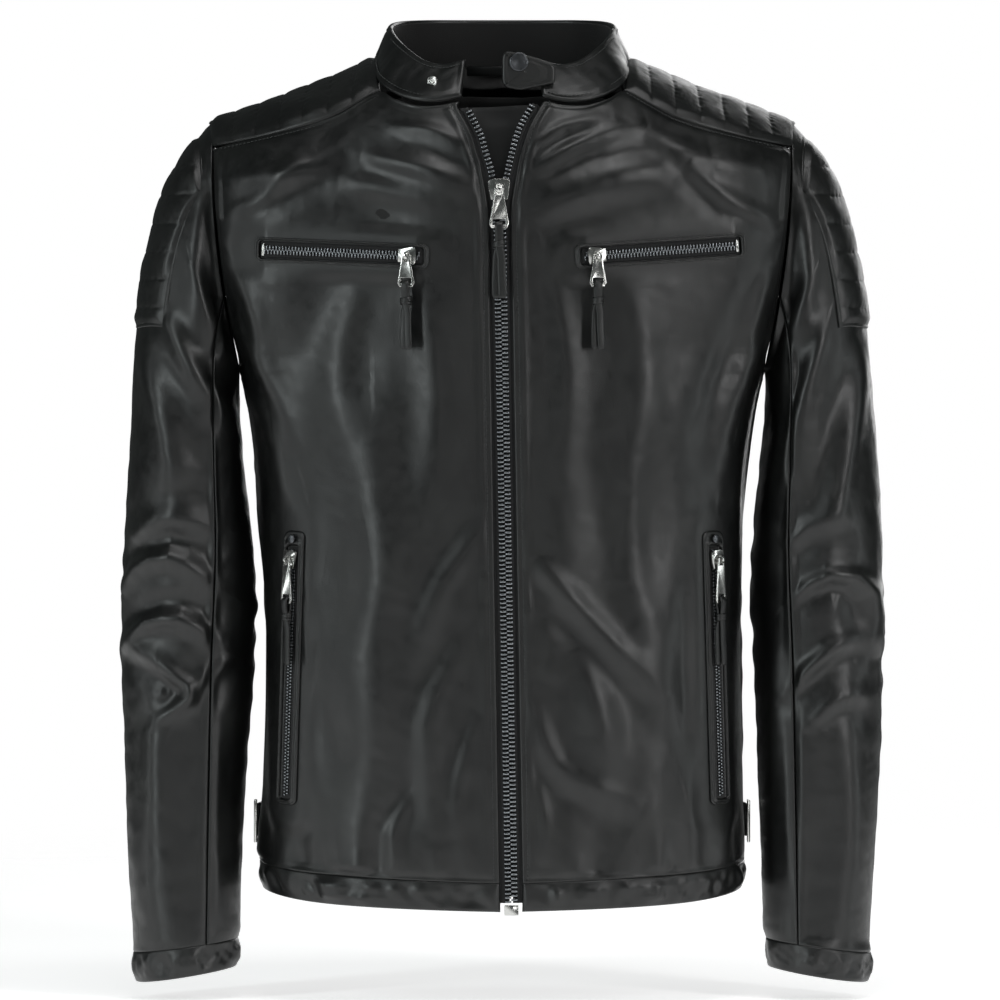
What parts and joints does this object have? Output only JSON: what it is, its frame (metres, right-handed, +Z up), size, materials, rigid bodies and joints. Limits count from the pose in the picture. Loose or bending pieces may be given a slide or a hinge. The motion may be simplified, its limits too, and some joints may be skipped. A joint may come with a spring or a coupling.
{
  "type": "riding jacket",
  "caption": "Leather riding jacket with a snap band collar, quilted shoulders and sleeves, zipped front, zipped chest and hand pockets, and waist straps.",
  "frame": {"origin": "middle of the hanger loop inside the back neck", "axes": "+Z up, the front faces -Y, the wearer's right is -X"},
  "size_m": [0.5948, 0.2545, 0.7493],
  "materials": {
    "leather": "semi-gloss black grained leather",
    "quilted_leather": "black leather stitched in channels over padding",
    "lining": "black polyester lining",
    "zip_tape": "black woven polyester tape",
    "zip_metal": "polished nickel plate",
    "snap_metal": "gunmetal plate"
  },
  "bodies": {
    "jacket": {"right_front_panel": "leather", "right_front_lining": "lining", "right_shoulder_pad": "quilted_leather", "right_hem_band": "leather", "left_front_panel": "leather", "left_front_lining": "lining", "left_shoulder_pad": "quilted_leather", "left_hem_band": "leather", "back_panel": "leather", "back_lining": "lining", "right_sleeve_top": "leather", "right_sleeve_under": "leather", "right_sleeve_lining": "lining", "right_cuff": "leather", "right_sleeve_pad": "quilted_leather", "left_sleeve_top": "leather", "left_sleeve_under": "leather", "left_sleeve_lining": "lining", "left_cuff": "leather", "left_sleeve_pad": "quilted_leather", "collar": "leather", "snap_stud": "zip_metal", "hanger_loop": "leather", "right_main_teeth": "zip_metal", "right_main_tape": "zip_tape", "left_main_teeth": "zip_metal", "left_main_tape": "zip_tape", "wind_flap": "leather", "retainer_box": "zip_metal", "right_chest_welt": "leather", "right_chest_zip": "zip_tape", "left_chest_welt": "leather", "left_chest_zip": "zip_tape", "right_hand_welt": "leather", "right_hand_zip": "zip_tape", "right_hand_rivet": "snap_metal", "left_hand_welt": "leather", "left_hand_zip": "zip_tape", "left_hand_rivet": "snap_metal", "right_waist_strap": "leather", "left_waist_strap": "leather"},
    "main_slider": {"main_slider": "zip_metal"},
    "main_pull": {"main_pull": "zip_metal"},
    "main_thong": {"main_thong": "leather"},
    "right_chest_slider": {"right_chest_slider": "zip_metal"},
    "right_chest_pull": {"right_chest_pull": "zip_metal"},
    "right_chest_thong": {"right_chest_thong": "leather"},
    "left_chest_slider": {"left_chest_slider": "zip_metal"},
    "left_chest_pull": {"left_chest_pull": "zip_metal"},
    "left_chest_thong": {"left_chest_thong": "leather"},
    "right_hand_slider": {"right_hand_slider": "zip_metal"},
    "right_hand_pull": {"right_hand_pull": "zip_metal"},
    "right_hand_thong": {"right_hand_thong": "leather"},
    "left_hand_slider": {"left_hand_slider": "zip_metal"},
    "left_hand_pull": {"left_hand_pull": "zip_metal"},
    "left_hand_thong": {"left_hand_thong": "leather"},
    "collar_tab": {"collar_tab": "leather", "snap_cap": "snap_metal"},
    "right_strap_ring": {"right_strap_ring": "zip_metal"},
    "left_strap_ring": {"left_strap_ring": "zip_metal"}
  },
  "joints": [
    {"name": "main_zip_slide", "type": "slide", "parent": "jacket", "child": "main_slider", "axis": [0.0172, -0.0001, -0.9999], "range_m": [0, 0.54]},
    {"name": "main_pull_swing", "type": "hinge", "parent": "main_slider", "child": "main_pull", "pos_m": [-0.00227, -0.19631, -0.09], "axis": [-1, 0, 0], "range_deg": [0, 100]},
    {"name": "main_thong_swing", "type": "hinge", "parent": "main_pull", "child": "main_thong", "pos_m": [-0.00227, -0.19631, -0.1187], "axis": [-1, 0, 0], "range_deg": [0, 80]},
    {"name": "right_chest_zip_slide", "type": "slide", "parent": "jacket", "child": "right_chest_slider", "axis": [-0.9658, 0.2565, 0.0371], "range_m": [0, 0.1]},
    {"name": "right_chest_pull_swing", "type": "hinge", "parent": "right_chest_slider", "child": "right_chest_pull", "pos_m": [-0.074, -0.19605, -0.14125], "axis": [-0.9665, 0.2566, 0], "range_deg": [0, 100]},
    {"name": "right_chest_thong_swing", "type": "hinge", "parent": "right_chest_pull", "child": "right_chest_thong", "pos_m": [-0.074, -0.19605, -0.16395], "axis": [-0.9665, 0.2566, 0], "range_deg": [0, 80]},
    {"name": "left_chest_zip_slide", "type": "slide", "parent": "jacket", "child": "left_chest_slider", "axis": [0.9669, 0.2471, 0.0636], "range_m": [0, 0.098]},
    {"name": "left_chest_pull_swing", "type": "hinge", "parent": "left_chest_slider", "child": "left_chest_pull", "pos_m": [0.07391, -0.19613, -0.14105], "axis": [-0.969, -0.2472, 0], "range_deg": [0, 100]},
    {"name": "left_chest_thong_swing", "type": "hinge", "parent": "left_chest_pull", "child": "left_chest_thong", "pos_m": [0.07391, -0.19613, -0.16375], "axis": [-0.969, -0.2472, 0], "range_deg": [0, 80]},
    {"name": "right_hand_zip_slide", "type": "slide", "parent": "jacket", "child": "right_hand_slider", "axis": [-0.0319, 0.0317, -0.999], "range_m": [0, 0.172]},
    {"name": "right_hand_pull_swing", "type": "hinge", "parent": "right_hand_slider", "child": "right_hand_pull", "pos_m": [-0.1668, -0.1525, -0.37698], "axis": [-0.6733, 0.7394, 0], "range_deg": [0, 100]},
    {"name": "right_hand_thong_swing", "type": "hinge", "parent": "right_hand_pull", "child": "right_hand_thong", "pos_m": [-0.1668, -0.1525, -0.40968], "axis": [-0.6733, 0.7394, 0], "range_deg": [0, 80]},
    {"name": "left_hand_zip_slide", "type": "slide", "parent": "jacket", "child": "left_hand_slider", "axis": [0.0292, 0.0308, -0.9991], "range_m": [0, 0.172]},
    {"name": "left_hand_pull_swing", "type": "hinge", "parent": "left_hand_slider", "child": "left_hand_pull", "pos_m": [0.16951, -0.14943, -0.37698], "axis": [-0.6426, -0.7662, 0], "range_deg": [0, 100]},
    {"name": "left_hand_thong_swing", "type": "hinge", "parent": "left_hand_pull", "child": "left_hand_thong", "pos_m": [0.16951, -0.14943, -0.40968], "axis": [-0.6426, -0.7662, 0], "range_deg": [0, 80]},
    {"name": "collar_tab_flex", "type": "hinge", "parent": "jacket", "child": "collar_tab", "pos_m": [0.041, -0.166, 0.001], "axis": [0, 0, 1], "range_deg": [0, 80]},
    {"name": "right_ring_swing", "type": "hinge", "parent": "jacket", "child": "right_strap_ring", "pos_m": [-0.19223, -0.0682, -0.584], "axis": [0, 0, -1], "range_deg": [0, 25]},
    {"name": "left_ring_swing", "type": "hinge", "parent": "jacket", "child": "left_strap_ring", "pos_m": [0.19223, -0.0682, -0.584], "axis": [0, 0, 1], "range_deg": [0, 25]}
  ]
}
